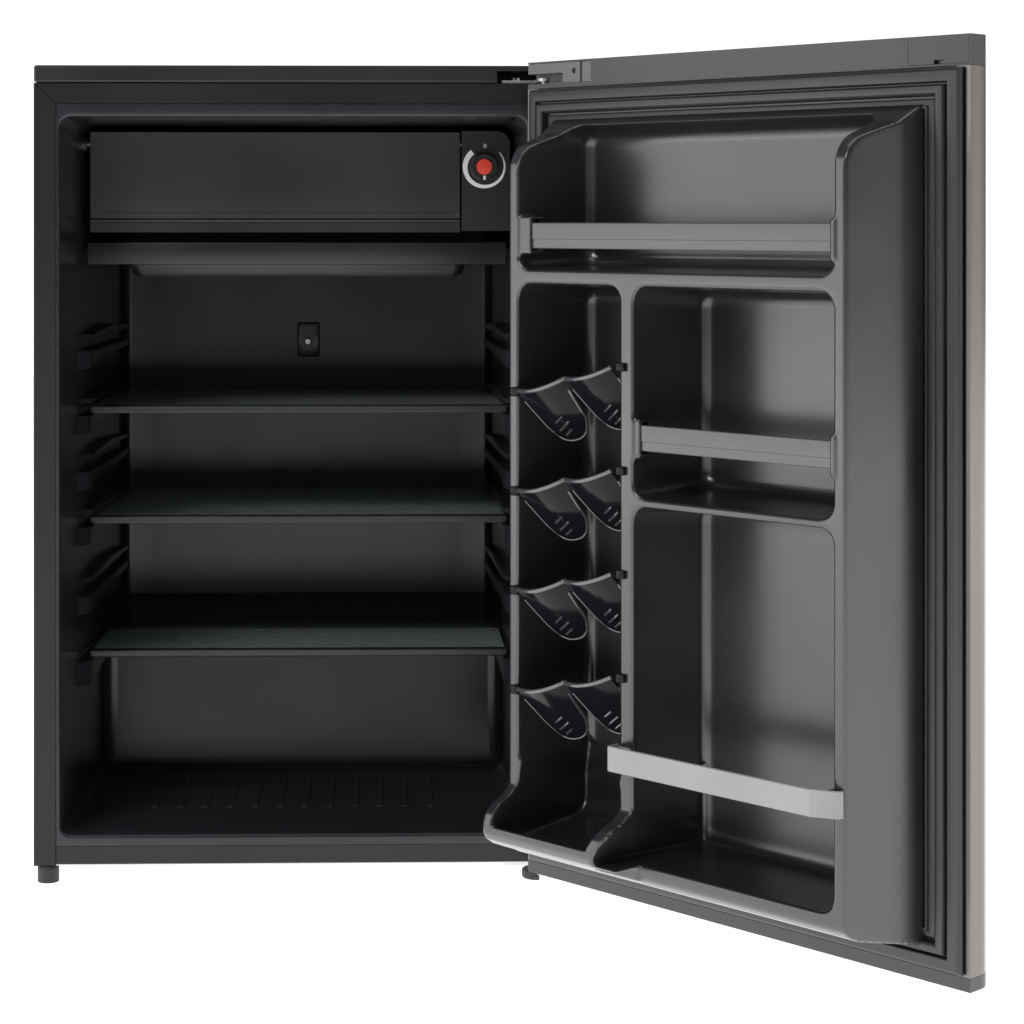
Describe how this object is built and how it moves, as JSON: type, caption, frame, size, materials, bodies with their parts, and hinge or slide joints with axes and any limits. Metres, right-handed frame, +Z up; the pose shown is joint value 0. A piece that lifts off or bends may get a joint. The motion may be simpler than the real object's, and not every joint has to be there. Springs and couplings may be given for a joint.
{
  "type": "mini fridge",
  "caption": "Compact free-standing refrigerator with its door standing open: freezer box, glass shelves, drip tray, door shelves with rails and a can dispenser column.",
  "frame": {"origin": "centre of the footprint's bounding box with the door open at rest, on the floor", "axes": "+Z up; -Y is the cabinet's front, where its mouth is; the door is hinged on the +X side"},
  "size_m": [0.8722, 0.937, 0.831],
  "materials": {
    "black_steel": "satin",
    "black_plastic": "satin",
    "grey_plastic": "satin",
    "clear_black": "gloss",
    "stainless": "satin",
    "zinc_steel": "satin",
    "aluminium": "satin",
    "copper": "satin",
    "foam": "matte",
    "glass": "gloss",
    "rubber": "matte",
    "red": "satin",
    "white": "satin"
  },
  "bodies": {
    "cabinet": {"outer_shell": "black_steel", "top_cover": "black_plastic", "lower_front_rail": "black_steel", "bottom_panel": "zinc_steel", "back_panel": "black_steel", "bay_cover": "zinc_steel", "base_plate": "zinc_steel", "cabinet_liner": "black_plastic", "cabinet_foam": "foam", "condenser_left": "copper", "condenser_right": "copper", "compressor": "black_steel", "compressor_mount_1": "rubber", "compressor_mount_2": "rubber", "compressor_mount_3": "rubber", "compressor_mount_4": "rubber", "relay_cover": "grey_plastic", "drain_pan": "grey_plastic", "filter_drier": "copper", "discharge_pipe": "copper", "suction_pipe": "copper", "cord_gland": "rubber", "rear_left_foot": "rubber", "rear_right_foot": "rubber", "top_hinge_bracket": "zinc_steel", "bottom_hinge_bracket": "zinc_steel", "bottom_pin_nut": "white", "evaporator": "aluminium", "freezer_frame": "black_plastic", "thermostat_housing": "black_plastic", "thermostat": "zinc_steel", "sensor_cover": "black_plastic", "sensor_screw": "zinc_steel"},
    "door": {"door_skin": "stainless", "door_top_cap": "black_plastic", "door_bottom_cap": "black_plastic", "hinge_insert": "grey_plastic", "hinge_pocket_cover": "black_plastic", "door_foam": "foam", "door_liner": "black_plastic", "door_gasket": "rubber", "top_rail": "grey_plastic", "middle_rail": "grey_plastic", "bottle_rail": "grey_plastic", "can_rack_1": "clear_black", "can_rack_2": "clear_black", "can_rack_3": "clear_black", "can_rack_4": "clear_black"},
    "freezer_flap": {"freezer_flap": "black_plastic"},
    "knob": {"thermostat_knob": "black_plastic", "knob_cap": "red"},
    "drip_tray": {"drip_tray": "black_plastic"},
    "upper_shelf": {"upper_shelf_glass": "glass", "upper_shelf_trim": "black_plastic"},
    "lower_shelf": {"lower_shelf_glass": "glass", "lower_shelf_trim": "black_plastic"},
    "crisper_shelf": {"crisper_shelf_glass": "glass", "crisper_shelf_trim": "black_plastic"},
    "front_left_foot": {"front_left_foot": "rubber"},
    "front_right_foot": {"front_right_foot": "rubber"}
  },
  "joints": [
    {"name": "door_hinge", "type": "hinge", "parent": "cabinet", "child": "door", "pos_m": [0.08188, -0.05731, 0.4], "axis": [0, 0, 1], "range_deg": [-132, 8]},
    {"name": "freezer_flap_hinge", "type": "hinge", "parent": "cabinet", "child": "freezer_flap", "pos_m": [-0.19812, 0.11119, 0.7543], "axis": [-1, 0, 0], "range_deg": [0, 95]},
    {"name": "drip_tray_slide", "type": "slide", "parent": "cabinet", "child": "drip_tray", "axis": [0, -1, 0], "range_m": [0, 0.15]},
    {"name": "upper_shelf_slide", "type": "slide", "parent": "cabinet", "child": "upper_shelf", "axis": [0, -1, 0], "range_m": [0, 0.2]},
    {"name": "lower_shelf_slide", "type": "slide", "parent": "cabinet", "child": "lower_shelf", "axis": [0, -1, 0], "range_m": [0, 0.2]},
    {"name": "crisper_shelf_slide", "type": "slide", "parent": "cabinet", "child": "crisper_shelf", "axis": [0, -1, 0], "range_m": [0, 0.2]},
    {"name": "knob_turn", "type": "hinge", "parent": "cabinet", "child": "knob", "pos_m": [0.02638, 0.09019, 0.7297], "axis": [0, 1, 0], "range_deg": [-170, 130]},
    {"name": "front_left_foot_turn", "type": "hinge", "parent": "cabinet", "child": "front_left_foot", "pos_m": [-0.42231, -0.02181, 0.008], "axis": [0, 0, 1], "continuous": true},
    {"name": "front_right_foot_turn", "type": "hinge", "parent": "cabinet", "child": "front_right_foot", "pos_m": [0.07538, -0.01781, 0.008], "axis": [0, 0, 1], "continuous": true}
  ]
}
